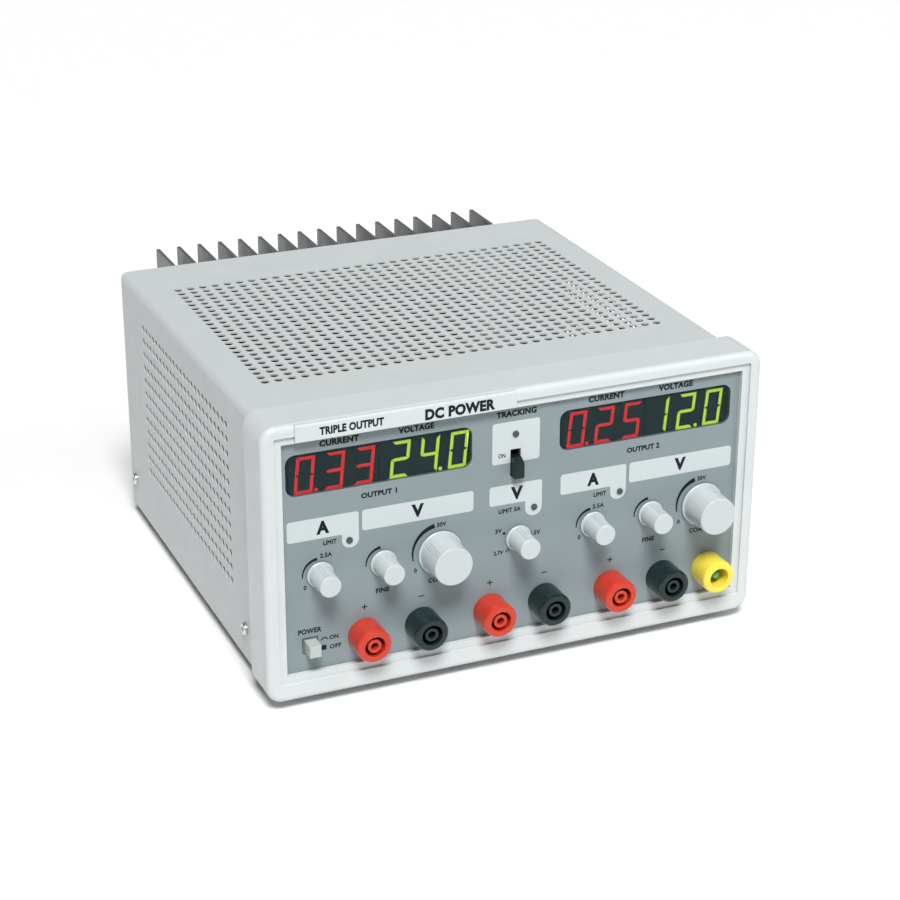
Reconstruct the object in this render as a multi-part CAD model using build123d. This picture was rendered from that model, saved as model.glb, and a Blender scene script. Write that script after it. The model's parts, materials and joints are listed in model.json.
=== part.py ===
"""Triple-output bench power supply with a perforated cover and a rear heat sink.

Working frame: X across (0 at the centre), Y into the case (0 at the front panel's face),
Z up (0 on the bench). Each piece is shifted along Y on export, so that the origin is at the
bottom centre of the whole object's box.
"""
from build123d import *
import os
from math import cos, pi, sin

# Case
FOOT_HEIGHT = 8.0
COVER_WIDTH = 258.6
COVER_HEIGHT = 139.2
COVER_FRONT_Y = 3.5
COVER_REAR_Y = 249.0
COVER_SHEET = 0.8
COVER_BEND = 4.0
COVER_TOP_Z = FOOT_HEIGHT + COVER_HEIGHT
COVER_HALF = COVER_WIDTH / 2
INSIDE_HALF = COVER_HALF - COVER_SHEET - 0.2

# Perforations of the cover
HOLE_RADIUS = 2.2
HOLE_PITCH_X = 6.99
HOLE_PITCH_Y = 6.32
HOLE_PITCH_Z = 7.75
TOP_COLUMNS = 32
HOLE_ROWS_Y = 24
SIDE_ROWS_Z = 12
HOLES_CENTRE_Y = 135.6
SIDE_HOLES_CENTRE_Z = FOOT_HEIGHT + 77.2

# Bezel and panel
BEZEL_WIDTH = 267.0
BEZEL_BOTTOM_Z = FOOT_HEIGHT - 2.5
BEZEL_TOP_Z = COVER_TOP_Z + 4.2
BEZEL_FRONT_Y = -3.5
BEZEL_REAR_Y = 21.5
BEZEL_CORNER = 8.0
BEZEL_ROUND = 3.0
LIP_Y = -2.2
LIP_WIDTH = 4.0
PANEL_THICKNESS = 2.0
OPENING_HALF = 123.0
OPENING_BOTTOM_Z = FOOT_HEIGHT + 11.1
OPENING_TOP_Z = OPENING_BOTTOM_Z + 122.4
PANEL_MARGIN = 3.0
BADGE_LEFT = -116.5
BADGE_RIGHT = -3.2
BADGE_BOTTOM_Z = OPENING_TOP_Z + 0.8
BADGE_TOP_Z = BEZEL_TOP_Z - 0.4
BADGE_PROUD = 0.6
BADGE_SEAT_Y = -1.6
BADGE_ROUND = 1.2
BADGE_GAP = 0.05

# Panel layout: the two adjustable channels are the same, one pitch apart
CHANNEL_PITCH = 146.0
KNOB_Z = OPENING_BOTTOM_Z + 51.3
CURRENT_KNOB_X = -104.5
FINE_KNOB_X = -71.8
COARSE_KNOB_X = -42.0
TRIM_KNOB_X = 0.3
LEFT_WINDOW_X = -72.7
RIGHT_WINDOW_X = LEFT_WINDOW_X + 142.8
WINDOW_Z = OPENING_BOTTOM_Z + 104.7
WINDOW_WIDTH = 95.8
WINDOW_HEIGHT = 21.4
WINDOW_CORNER = 5.0
DIGITS_WIDTH = 46.4
DIGITS_HEIGHT = 24.0
PANE_FRONT_Y = 0.1
PANE_BACK_Y = 1.6
DISPLAY_FACE_Y = 2.1
SOCKET_Z = OPENING_BOTTOM_Z + 13.8
SOCKET_PAIR_X = (-66.7, 0.4, 67.5)
SOCKET_HALF_PITCH = 15.05
EARTH_SOCKET_X = 109.0
LIMIT_LED_Z = OPENING_BOTTOM_Z + 66.5
LED_PLACES = (
    (-89.0, LIMIT_LED_Z),
    (56.6, LIMIT_LED_Z),
    (8.9, LIMIT_LED_Z),
    (-1.7, OPENING_BOTTOM_Z + 107.6),
)
LED_RADIUS = 1.65
BUTTON_X = -110.2
BUTTON_Z = OPENING_BOTTOM_Z + 13.8
TRACKING_X = -1.6
TRACKING_SLOT_BOTTOM_Z = OPENING_BOTTOM_Z + 85.2
TRACKING_SLOT_HEIGHT = 14.4
TRACKING_SLOT_WIDTH = 5.5

# Knobs: radius of the collar, of the body at the collar and at the face, length, groove pitch
SMALL_KNOB = {"collar": 6.8, "base": 6.0, "face": 5.45, "length": 15.2, "groove_pitch": 1.1}
LARGE_KNOB = {"collar": 11.5, "base": 10.5, "face": 10.0, "length": 17.9, "groove_pitch": 1.3}
KNOB_GAP = 0.6
KNOB_WALL = 3.0
KNOB_EDGE = 0.7
COLLAR_THICKNESS = 1.3
COLLAR_EDGE = 0.4
GRIP_GROUPS = 3
GRIP_GROOVES = 3
GRIP_RADIUS = 0.4
SHAFT_RADIUS = 3.0
RUNNING_GAP = 0.05
PRESS_GAP = 0.02
# Each knob's place, its size and the angle that it is set to, in degrees
KNOBS = {
    "current_left": (CURRENT_KNOB_X, SMALL_KNOB, 225),
    "fine_left": (FINE_KNOB_X, SMALL_KNOB, 200),
    "coarse_left": (COARSE_KNOB_X, LARGE_KNOB, 140),
    "trim": (TRIM_KNOB_X, SMALL_KNOB, 220),
    "current_right": (CURRENT_KNOB_X + CHANNEL_PITCH, SMALL_KNOB, 220),
    "fine_right": (FINE_KNOB_X + CHANNEL_PITCH, SMALL_KNOB, 215),
    "coarse_right": (COARSE_KNOB_X + CHANNEL_PITCH, LARGE_KNOB, 195),
}

# Sockets
SOCKET_RADIUS = 8.9
SOCKET_LENGTH = 14.4
SOCKET_SHOULDER = 1.6
SHANK_RADIUS = 5.9
SHANK_END_Y = 11.0
GROOVE_RADIUS = 5.4
GROOVE_DEPTH = 13.0
TUBE_RADIUS = 3.5
TUBE_SETBACK = 0.8
CONTACT_RADIUS = 2.75
CONTACT_BORE = 2.0
CONTACT_BORE_DEPTH = 16.6
CONTACT_MOUTH = 4.0
CONTACT_TAIL = 6.0
EARTH_RECESS_RADIUS = 5.25
EARTH_PIN_RADIUS = 2.2
EARTH_PIN_SETBACK = 3.2

# Push button and slide lever
BUTTON_WIDTH = 6.0
BUTTON_HEIGHT = 6.2
BUTTON_PROUD = 8.4
BUTTON_TAIL_Y = 2.5
PUSH_ROD = 4.0
SWITCH_FRONT_Y = 8.0
SWITCH_REAR_Y = 28.0
LEVER_WIDTH = 4.9
LEVER_HEIGHT = 10.3
LEVER_PROUD = 5.5

# Control board, behind the panel
BOARD_THICKNESS = 1.6
CONTROL_BOARD_Y = 12.0

# Rear
REAR_PLATE = 1.5
FIN_COUNT = 17
FIN_PITCH = 12.3
FIN_THICKNESS = 2.0
FIN_REAR_Y = 286.5
SINK_CENTRE_X = 1.5
SINK_BASE = 5.0
SINK_BOTTOM_Z = 52.0
SINK_TOP_Z = COVER_TOP_Z - 2.0
INLET_X = -84.0
INLET_Z = 30.0
INLET_FLANGE_Y = COVER_REAR_Y + 2.5
INLET_BODY_Y = COVER_REAR_Y - 24.0
CAVITY_X = INLET_X + 8.0
CAVITY_WIDTH = 24.6
CAVITY_HEIGHT = 16.6
CAVITY_DEPTH = 16.0
DRAWER_X = INLET_X - 15.5
DRAWER_WIDTH = 12.0
DRAWER_HEIGHT = 20.0
DRAWER_DEPTH = 22.0

# Tray and inner parts
TRAY_SHEET = 1.5
TRAY_TOP_Z = FOOT_HEIGHT + TRAY_SHEET
TRAY_SIDE_TOP_Z = 40.0
FOOT_X = 105.0
FOOT_YS = (34.0, 226.0)
SCREW_YS = (41.5, 239.5)
SCREW_Z = FOOT_HEIGHT + 17.5
REAR_LIP_HEIGHT = 7.5
REAR_SCREW_X = 115.0
REAR_SCREW_LOW_Z = TRAY_TOP_Z + 4.0
REAR_SCREW_HIGH_Z = COVER_TOP_Z - 6.5
REAR_SCREWS = (
    (-REAR_SCREW_X, REAR_SCREW_LOW_Z),
    (0.0, REAR_SCREW_LOW_Z),
    (REAR_SCREW_X, REAR_SCREW_LOW_Z),
    (-REAR_SCREW_X, REAR_SCREW_HIGH_Z),
    (REAR_SCREW_X, REAR_SCREW_HIGH_Z),
)
SCREW_RADIUS = 1.5
SCREW_LENGTH = 7.0
SCREW_HEAD_RADIUS = 3.3
SCREW_HEAD_HEIGHT = 2.0
STANDOFF_HEIGHT = 9.0
MAIN_BOARD_Z = TRAY_TOP_Z + STANDOFF_HEIGHT
TRANSFORMER_X = 62.0
TRANSFORMER_Y = 150.0

# The origin lies midway between the large knobs' faces and the fins' tips
FRONT_Y = -(KNOB_GAP + LARGE_KNOB["length"])
ORIGIN_Y = (FRONT_Y + FIN_REAR_Y) / 2

parts = {}


def block(x0, x1, y0, y1, z0, z1):
    """Box between two corners."""
    centre = ((x0 + x1) / 2, (y0 + y1) / 2, (z0 + z1) / 2)
    return Pos(*centre) * Box(x1 - x0, y1 - y0, z1 - z0)


def outline(x0, x1, z0, z1, corner=0.0):
    """Rectangle in the X-Z plane, with round corners where a radius is given."""
    if corner:
        shape = RectangleRounded(x1 - x0, z1 - z0, corner)
    else:
        shape = Rectangle(x1 - x0, z1 - z0)
    return Pos((x0 + x1) / 2, (z0 + z1) / 2) * shape


def slab(sketch, front_y, back_y):
    """Solid with an X-Z outline, between two Y planes."""
    return extrude(Plane.XZ.offset(-back_y) * sketch, back_y - front_y)


def disc(x, z, radius, front_y, back_y):
    """Cylinder along Y."""
    return slab(Pos(x, z) * Circle(radius), front_y, back_y)


def post(x, y, radius, z0, z1):
    """Cylinder along Z."""
    return Pos(x, y, (z0 + z1) / 2) * Cylinder(radius, z1 - z0)


def turned(points, x, z):
    """Solid of revolution about a Y axis at (x, z), from (radius, y) points."""
    profile = make_face(Polyline(*points, close=True))
    return Pos(x, 0, z) * revolve(profile, Axis.Y)


def rounded_rim(radius, face_y, edge):
    """(radius, y) points round the outer rim of a turned front face."""
    points = []
    for step in range(5):
        angle = step * pi / 8
        points.append((radius - edge * (1 - cos(angle)), face_y + edge * (1 - sin(angle))))
    return points


def mirrored_pair(shape):
    """The shape and its mirror image across X = 0."""
    return [shape, mirror(shape, Plane.YZ)]


def save(name, *shapes):
    """Keep a node made of one or more solids."""
    solids = [solid for shape in shapes for solid in shape.solids()]
    parts[name] = solids[0] if len(solids) == 1 else Compound(solids)


def socket_places():
    """(name, x) of the six output sockets, positive to the left of negative."""
    for number, centre in enumerate(SOCKET_PAIR_X, 1):
        yield f"socket_{number}_positive", centre - SOCKET_HALF_PITCH
        yield f"socket_{number}_negative", centre + SOCKET_HALF_PITCH


def make_bezel():
    frame = slab(
        outline(-BEZEL_WIDTH / 2, BEZEL_WIDTH / 2, BEZEL_BOTTOM_Z, BEZEL_TOP_Z, BEZEL_CORNER),
        BEZEL_FRONT_Y, BEZEL_REAR_Y,
    )
    frame = fillet(frame.faces().sort_by(Axis.Y)[0].edges(), BEZEL_ROUND)
    lip = slab(
        outline(-OPENING_HALF - LIP_WIDTH, OPENING_HALF + LIP_WIDTH,
                OPENING_BOTTOM_Z - LIP_WIDTH, OPENING_TOP_Z + LIP_WIDTH, 1.0),
        BEZEL_FRONT_Y, LIP_Y,
    )
    opening = slab(
        outline(-OPENING_HALF, OPENING_HALF, OPENING_BOTTOM_Z, OPENING_TOP_Z),
        BEZEL_FRONT_Y, PANEL_THICKNESS,
    )
    seat = PANEL_MARGIN + 0.2
    pocket = slab(
        outline(-OPENING_HALF - seat, OPENING_HALF + seat,
                OPENING_BOTTOM_Z - seat, OPENING_TOP_Z + seat),
        0.0, COVER_FRONT_Y - 1.0,
    )
    gap = 0.2
    middle_z = (FOOT_HEIGHT + COVER_TOP_Z) / 2
    round_top = outline(-COVER_HALF - gap, COVER_HALF + gap, FOOT_HEIGHT - gap, COVER_TOP_Z + gap,
                        COVER_BEND + gap)
    square_bottom = outline(-COVER_HALF - gap, COVER_HALF + gap, FOOT_HEIGHT - gap, middle_z)
    hollow = slab(round_top + square_bottom, COVER_FRONT_Y - 1.0, BEZEL_REAR_Y)
    badge_seat = block(BADGE_LEFT - BADGE_GAP, BADGE_RIGHT + BADGE_GAP, BEZEL_FRONT_Y, BADGE_SEAT_Y,
                       BADGE_BOTTOM_Z, BEZEL_TOP_Z)
    save("front_bezel", frame - lip - opening - pocket - hollow - badge_seat)


def make_badge():
    """Name strip let into the bezel's top bar, a little proud of it, with a rounded top edge."""
    plate = block(BADGE_LEFT, BADGE_RIGHT, BEZEL_FRONT_Y - BADGE_PROUD, BADGE_SEAT_Y,
                  BADGE_BOTTOM_Z + BADGE_GAP, BADGE_TOP_Z)
    top_edge = plate.faces().sort_by(Axis.Z)[-1].edges().sort_by(Axis.Y)[0]
    save("badge_plate", fillet(top_edge, BADGE_ROUND))


def make_panel():
    plate = slab(
        outline(-OPENING_HALF - PANEL_MARGIN, OPENING_HALF + PANEL_MARGIN,
                OPENING_BOTTOM_Z - PANEL_MARGIN, OPENING_TOP_Z + PANEL_MARGIN),
        0.0, PANEL_THICKNESS,
    )
    cuts = []
    for x in (LEFT_WINDOW_X, RIGHT_WINDOW_X):
        cuts.append(Pos(x, WINDOW_Z) * RectangleRounded(WINDOW_WIDTH, WINDOW_HEIGHT, WINDOW_CORNER))
    for x, _, _ in KNOBS.values():
        cuts.append(Pos(x, KNOB_Z) * Circle(SHAFT_RADIUS + 1.5))
    for _, x in socket_places():
        cuts.append(Pos(x, SOCKET_Z) * Circle(SHANK_RADIUS + 0.1))
    cuts.append(Pos(EARTH_SOCKET_X, SOCKET_Z) * Circle(SHANK_RADIUS + 0.1))
    for x, z in LED_PLACES:
        cuts.append(Pos(x, z) * Circle(LED_RADIUS + 0.1))
    cuts.append(Pos(BUTTON_X, BUTTON_Z) * Rectangle(BUTTON_WIDTH + 0.8, BUTTON_HEIGHT + 0.8))
    cuts.append(Pos(TRACKING_X, TRACKING_SLOT_BOTTOM_Z + TRACKING_SLOT_HEIGHT / 2)
                * Rectangle(TRACKING_SLOT_WIDTH, TRACKING_SLOT_HEIGHT))
    for cut in cuts:
        plate -= slab(cut, 0.0, PANEL_THICKNESS)
    save("front_panel", plate)


def make_displays():
    """Smoked panes in the panel's windows, each on ribs at its ends, and two modules behind each."""
    clear = 0.2
    rib_width = 2.0
    width, height = WINDOW_WIDTH - clear, WINDOW_HEIGHT - clear
    glass = RectangleRounded(width, height, WINDOW_CORNER - clear / 2)
    ribs = glass - Rectangle(width - 2 * rib_width, height)
    for name, centre in (("left", LEFT_WINDOW_X), ("right", RIGHT_WINDOW_X)):
        place = Pos(centre, WINDOW_Z)
        pane = slab(place * glass, PANE_FRONT_Y, PANE_BACK_Y)
        save(f"display_window_{name}", pane + slab(place * ribs, PANE_BACK_Y, DISPLAY_FACE_Y))
        for step, quantity in ((-0.5, "current"), (0.5, "voltage")):
            middle = centre + step * (DIGITS_WIDTH + 0.6)
            digits = block(
                middle - DIGITS_WIDTH / 2, middle + DIGITS_WIDTH / 2, DISPLAY_FACE_Y, CONTROL_BOARD_Y,
                WINDOW_Z - DIGITS_HEIGHT / 2, WINDOW_Z + DIGITS_HEIGHT / 2,
            )
            save(f"led_display_{name}_{quantity}", digits)


def make_indicators():
    leds = []
    for x, z in LED_PLACES:
        led = disc(x, z, LED_RADIUS, -0.6, 3.0) + disc(x, z, LED_RADIUS + 0.4, 3.0, 4.2)
        for offset in (-1.27, 1.27):
            led += disc(x + offset, z, 0.3, 4.2, CONTROL_BOARD_Y)
        leds.append(led)
    save("indicator_leds", *leds)


def make_knob(name, x, size, setting):
    """Moulded knob with a collar, a tapered body, a rounded face and grip grooves, and its shaft."""
    back = -KNOB_GAP
    collar_y = back - COLLAR_THICKNESS
    face_y = back - size["length"]
    bore_y = face_y + KNOB_WALL
    bore = SHAFT_RADIUS + PRESS_GAP
    knob = turned([
        (bore, back),
        (size["collar"] - COLLAR_EDGE, back),
        (size["collar"], back - COLLAR_EDGE),
        (size["collar"], collar_y + COLLAR_EDGE),
        (size["collar"] - COLLAR_EDGE, collar_y),
        (size["base"], collar_y),
        *rounded_rim(size["face"], face_y, KNOB_EDGE),
        (0, face_y),
        (0, bore_y),
        (bore, bore_y),
    ], x, KNOB_Z)
    groove_front_y = face_y + KNOB_EDGE + 0.9
    groove_back_y = collar_y - 0.3
    for group in range(GRIP_GROUPS):
        for groove in range(GRIP_GROOVES):
            offset = (groove - (GRIP_GROOVES - 1) / 2) * size["groove_pitch"] / size["base"]
            angle = setting * pi / 180 + 2 * pi * group / GRIP_GROUPS + offset
            back_end = Vector(size["base"] * cos(angle), groove_back_y, size["base"] * sin(angle))
            front_end = Vector(size["face"] * cos(angle), groove_front_y, size["face"] * sin(angle))
            along = front_end - back_end
            groove_plane = Plane(origin=(back_end + front_end) / 2, z_dir=along)
            cutter = groove_plane * Cylinder(GRIP_RADIUS, along.length)
            knob -= Pos(x, 0, KNOB_Z) * cutter
    save(f"knob_{name}", knob)
    shaft_end = CONTROL_BOARD_Y - 2.0
    save(f"shaft_{name}", disc(x, KNOB_Z, SHAFT_RADIUS, bore_y + 0.2, shaft_end))


def make_potentiometers():
    pots = []
    for x, _, _ in KNOBS.values():
        body = slab(Pos(x, KNOB_Z) * RectangleRounded(16, 17, 1.5), 3.4, CONTROL_BOARD_Y)
        bushing = disc(x, KNOB_Z, SHAFT_RADIUS + 1.2, 0.4, 3.4)
        bore = disc(x, KNOB_Z, SHAFT_RADIUS + RUNNING_GAP, 0.4, CONTROL_BOARD_Y - 1.6)
        pots.append(body + bushing - bore)
    save("potentiometers", *pots)


def socket_profile(hole, recess):
    """(radius, y) points of a socket's outside, from its threaded end to the bottom of a recess."""
    front = -SOCKET_LENGTH
    return [
        (hole, SHANK_END_Y), (SHANK_RADIUS, SHANK_END_Y), (SHANK_RADIUS, 0), (SOCKET_RADIUS, 0),
        *rounded_rim(SOCKET_RADIUS, front, SOCKET_SHOULDER),
        (recess, front), (recess, front + GROOVE_DEPTH),
    ]


def make_sockets():
    front = -SOCKET_LENGTH
    tube_y = front + TUBE_SETBACK
    mouth_y = tube_y + CONTACT_MOUTH
    tail_y = SHANK_END_Y + CONTACT_TAIL
    contacts = []
    for name, x in socket_places():
        tube = [
            (TUBE_RADIUS, front + GROOVE_DEPTH), (TUBE_RADIUS, tube_y), (CONTACT_BORE, tube_y),
            (CONTACT_BORE, mouth_y), (CONTACT_RADIUS, mouth_y),
        ]
        save(name, turned(socket_profile(CONTACT_RADIUS, GROOVE_RADIUS) + tube, x, SOCKET_Z))
        sleeve = disc(x, SOCKET_Z, CONTACT_RADIUS - PRESS_GAP, mouth_y, tail_y)
        contacts.append(sleeve - disc(x, SOCKET_Z, CONTACT_BORE, mouth_y, mouth_y + CONTACT_BORE_DEPTH))
    save("socket_contacts", *contacts)

    pin_hole = EARTH_PIN_RADIUS + PRESS_GAP
    floor = [(pin_hole, front + GROOVE_DEPTH)]
    save("socket_earth",
         turned(socket_profile(pin_hole, EARTH_RECESS_RADIUS) + floor, EARTH_SOCKET_X, SOCKET_Z))
    pin = disc(EARTH_SOCKET_X, SOCKET_Z, EARTH_PIN_RADIUS, front + EARTH_PIN_SETBACK, tail_y)
    tip = pin.faces().sort_by(Axis.Y)[0].edges()
    save("socket_earth_pin", fillet(tip, EARTH_PIN_RADIUS * 0.6))

    nuts = []
    for x in [x for _, x in socket_places()] + [EARTH_SOCKET_X]:
        nut = slab(Pos(x, SOCKET_Z) * RegularPolygon(8.6, 6), PANEL_THICKNESS, 5.5)
        nuts.append(nut - disc(x, SOCKET_Z, SHANK_RADIUS + PRESS_GAP, PANEL_THICKNESS, 5.5))
    save("socket_nuts", *nuts)


def make_power_switch():
    half_width, half_height = BUTTON_WIDTH / 2, BUTTON_HEIGHT / 2
    cap = block(BUTTON_X - half_width, BUTTON_X + half_width, -BUTTON_PROUD, BUTTON_TAIL_Y,
                BUTTON_Z - half_height, BUTTON_Z + half_height)
    cap = fillet(cap.faces().sort_by(Axis.Y)[0].edges(), 0.6)
    save("power_button", cap)

    half_rod = PUSH_ROD / 2
    rod = block(BUTTON_X - half_rod, BUTTON_X + half_rod, BUTTON_TAIL_Y, 20,
                BUTTON_Z - half_rod, BUTTON_Z + half_rod)
    save("power_push_rod", rod)

    body = block(BUTTON_X - 7.5, BUTTON_X + 7.5, SWITCH_FRONT_Y, SWITCH_REAR_Y,
                 BUTTON_Z - 7.5, BUTTON_Z + 7.5)
    for side in (-1, 1):
        ear = sorted((BUTTON_X + side * 5.5, BUTTON_X + side * 7.5))
        body += block(*ear, PANEL_THICKNESS, SWITCH_FRONT_Y, BUTTON_Z - 7.5, BUTTON_Z + 7.5)
    half_channel = half_rod + RUNNING_GAP
    body -= block(BUTTON_X - half_channel, BUTTON_X + half_channel, SWITCH_FRONT_Y,
                  SWITCH_REAR_Y - 2, BUTTON_Z - half_channel, BUTTON_Z + half_channel)
    save("mains_switch", body)


def make_tracking_switch():
    lever_bottom = TRACKING_SLOT_BOTTOM_Z + 0.3
    lever_top = lever_bottom + LEVER_HEIGHT
    side_view = Polyline(
        (LEVER_PROUD * -1, lever_bottom + 0.5),
        (-LEVER_PROUD + 0.5, lever_bottom),
        (5.0, lever_bottom),
        (5.0, lever_top),
        (-1.2, lever_top),
        (-LEVER_PROUD + 0.6, lever_top - 1.8),
        (-LEVER_PROUD, lever_top - 2.4),
        close=True,
    )
    lever = extrude(Plane.YZ.offset(TRACKING_X - LEVER_WIDTH / 2) * make_face(side_view), LEVER_WIDTH)
    save("tracking_slider", lever)

    housing = block(TRACKING_X - 6, TRACKING_X + 6, PANEL_THICKNESS + 0.1, CONTROL_BOARD_Y,
                    TRACKING_SLOT_BOTTOM_Z - 3, TRACKING_SLOT_BOTTOM_Z + TRACKING_SLOT_HEIGHT + 3)
    channel = block(TRACKING_X - LEVER_WIDTH / 2 - 0.1, TRACKING_X + LEVER_WIDTH / 2 + 0.1,
                    PANEL_THICKNESS + 0.1, 5.6,
                    TRACKING_SLOT_BOTTOM_Z, TRACKING_SLOT_BOTTOM_Z + TRACKING_SLOT_HEIGHT)
    save("tracking_switch", housing - channel)


def make_control_board():
    board = slab(outline(-121, 121, OPENING_BOTTOM_Z + 3, OPENING_TOP_Z - 2),
                 CONTROL_BOARD_Y, CONTROL_BOARD_Y + BOARD_THICKNESS)
    for x in [x for _, x in socket_places()] + [EARTH_SOCKET_X]:
        board -= disc(x, SOCKET_Z, CONTACT_RADIUS + 1, CONTROL_BOARD_Y,
                      CONTROL_BOARD_Y + BOARD_THICKNESS)
    board -= slab(Pos(BUTTON_X, BUTTON_Z) * Rectangle(16, 16), CONTROL_BOARD_Y,
                  CONTROL_BOARD_Y + BOARD_THICKNESS)
    save("control_board", board)


def perforated_sheet(width, height, columns, rows, pitch_u, pitch_v, centre, plain_holes=()):
    """Flat face with a grid of round holes, centred at (0, 0), plus single (u, v, r) holes."""
    holes = []
    for column in range(columns):
        for row in range(rows):
            u = centre[0] + (column - (columns - 1) / 2) * pitch_u
            v = centre[1] + (row - (rows - 1) / 2) * pitch_v
            holes.append((u, v, HOLE_RADIUS))
    wires = [
        Wire([Edge.make_circle(radius, Plane((u, v, 0)))])
        for u, v, radius in [*holes, *plain_holes]
    ]
    return Face(Wire.make_rect(width, height), wires)


def make_cover():
    length = COVER_REAR_Y - COVER_FRONT_Y
    middle_y = (COVER_REAR_Y + COVER_FRONT_Y) / 2
    top_face = perforated_sheet(
        COVER_WIDTH - 2 * COVER_BEND, length, TOP_COLUMNS, HOLE_ROWS_Y,
        HOLE_PITCH_X, HOLE_PITCH_Y, (0, HOLES_CENTRE_Y - middle_y),
    )
    top = extrude(Pos(0, middle_y, COVER_TOP_Z - COVER_SHEET) * top_face, COVER_SHEET, dir=(0, 0, 1))

    side_height = COVER_HEIGHT - COVER_BEND
    side_middle_z = FOOT_HEIGHT + side_height / 2
    screw_holes = [(y - middle_y, SCREW_Z - side_middle_z, SCREW_RADIUS + 0.1) for y in SCREW_YS]
    side_face = perforated_sheet(
        length, side_height, HOLE_ROWS_Y, SIDE_ROWS_Z, HOLE_PITCH_Y, HOLE_PITCH_Z,
        (HOLES_CENTRE_Y - middle_y, SIDE_HOLES_CENTRE_Z - side_middle_z), screw_holes,
    )
    side_plane = Plane(
        origin=(COVER_HALF - COVER_SHEET, middle_y, side_middle_z), x_dir=(0, 1, 0), z_dir=(1, 0, 0)
    )
    side = extrude(side_plane * side_face, COVER_SHEET, dir=(1, 0, 0))

    bend_centre = (COVER_HALF - COVER_BEND, COVER_TOP_Z - COVER_BEND)
    ring = Pos(*bend_centre) * (Circle(COVER_BEND) - Circle(COVER_BEND - COVER_SHEET))
    quarter = Pos(bend_centre[0] + COVER_BEND, bend_centre[1] + COVER_BEND) * Rectangle(
        2 * COVER_BEND, 2 * COVER_BEND)
    bend = slab(ring & quarter, COVER_FRONT_Y, COVER_REAR_Y)

    cover = top
    for shape in mirrored_pair(bend) + mirrored_pair(side):
        cover += shape
    save("top_cover", cover)


def screw(seat):
    """Cross-head screw: its dome stands on the seat plane, its shank goes through it."""
    dome = seat * Pos(0, 0, SCREW_HEAD_HEIGHT / 2) * Cylinder(SCREW_HEAD_RADIUS, SCREW_HEAD_HEIGHT)
    dome = fillet(dome.faces().sort_by(Axis(seat.origin, seat.z_dir))[-1].edges(), 1.0)
    for size in ((0.8, 3.8), (3.8, 0.8)):
        dome -= seat * Pos(0, 0, SCREW_HEAD_HEIGHT) * Box(*size, 1.8)
    return dome + seat * Pos(0, 0, -SCREW_LENGTH / 2) * Cylinder(SCREW_RADIUS, SCREW_LENGTH)


def make_screws():
    screws = []
    for y in SCREW_YS:
        for side in (-1, 1):
            screws.append(screw(Plane(origin=(side * COVER_HALF, y, SCREW_Z), z_dir=(side, 0, 0))))
    for x, z in REAR_SCREWS:
        screws.append(screw(Plane(origin=(x, COVER_REAR_Y, z), z_dir=(0, 1, 0))))
    save("case_screws", *screws)


def make_tray():
    rear = COVER_REAR_Y - REAR_PLATE
    tray = block(-INSIDE_HALF, INSIDE_HALF, COVER_FRONT_Y, rear, FOOT_HEIGHT, TRAY_TOP_Z)
    for side in mirrored_pair(block(INSIDE_HALF - TRAY_SHEET, INSIDE_HALF, COVER_FRONT_Y + 20, rear,
                                    TRAY_TOP_Z, TRAY_SIDE_TOP_Z)):
        tray += side
    tray += block(-INSIDE_HALF, INSIDE_HALF, rear - TRAY_SHEET, rear, TRAY_TOP_Z,
                  TRAY_TOP_Z + REAR_LIP_HEIGHT)
    slot_width, slot_length, slot_pitch = 3.5, 36.0, 12.0
    for column in range(-7, 8):
        for row_y in (95.0, 165.0):
            slot = RectangleRounded(slot_width, slot_length, slot_width / 2 - 0.01)
            tray -= extrude(Pos(column * slot_pitch, row_y, FOOT_HEIGHT) * slot, TRAY_SHEET)
    for y in SCREW_YS:
        tray -= Pos(0, y, SCREW_Z) * Rot(0, 90, 0) * Cylinder(SCREW_RADIUS + PRESS_GAP, COVER_WIDTH)
    for x, z in REAR_SCREWS:
        tray -= disc(x, z, SCREW_RADIUS + PRESS_GAP, rear - TRAY_SHEET, rear)
    for x in (-FOOT_X, FOOT_X):
        for y in FOOT_YS:
            tray -= post(x, y, 1.62, FOOT_HEIGHT, TRAY_TOP_Z)
    save("base_tray", tray)


def make_feet():
    feet = []
    screws = []
    for x in (-FOOT_X, FOOT_X):
        for y in FOOT_YS:
            foot = Pos(x, y, FOOT_HEIGHT / 2) * Cylinder(8.0, FOOT_HEIGHT)
            foot = chamfer(foot.faces().sort_by(Axis.Z)[0].edges(), 1.5)
            foot -= post(x, y, 3.6, 0, 4.0)
            foot -= post(x, y, 1.65, 4.0, FOOT_HEIGHT)
            feet.append(foot)
            screws.append(post(x, y, 3.0, 1.8, 4.0) + post(x, y, 1.6, 4.0, TRAY_TOP_Z + 3))
    save("rubber_feet", *feet)
    save("feet_screws", *screws)


def make_rear_panel():
    front = COVER_REAR_Y - REAR_PLATE
    plate = slab(
        outline(-INSIDE_HALF, INSIDE_HALF, FOOT_HEIGHT, COVER_TOP_Z - COVER_SHEET - 0.2, 3.0),
        front, COVER_REAR_Y,
    )
    plate -= slab(outline(INLET_X - 23.6, INLET_X + 23.6, INLET_Z - 12.6, INLET_Z + 12.6),
                  front, COVER_REAR_Y)
    plate -= slab(outline(SINK_CENTRE_X - 86, SINK_CENTRE_X + 86, 76, 116), front, COVER_REAR_Y)
    for x, z in REAR_SCREWS:
        plate -= disc(x, z, SCREW_RADIUS + PRESS_GAP, front, COVER_REAR_Y)
    save("rear_panel", plate)


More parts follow.
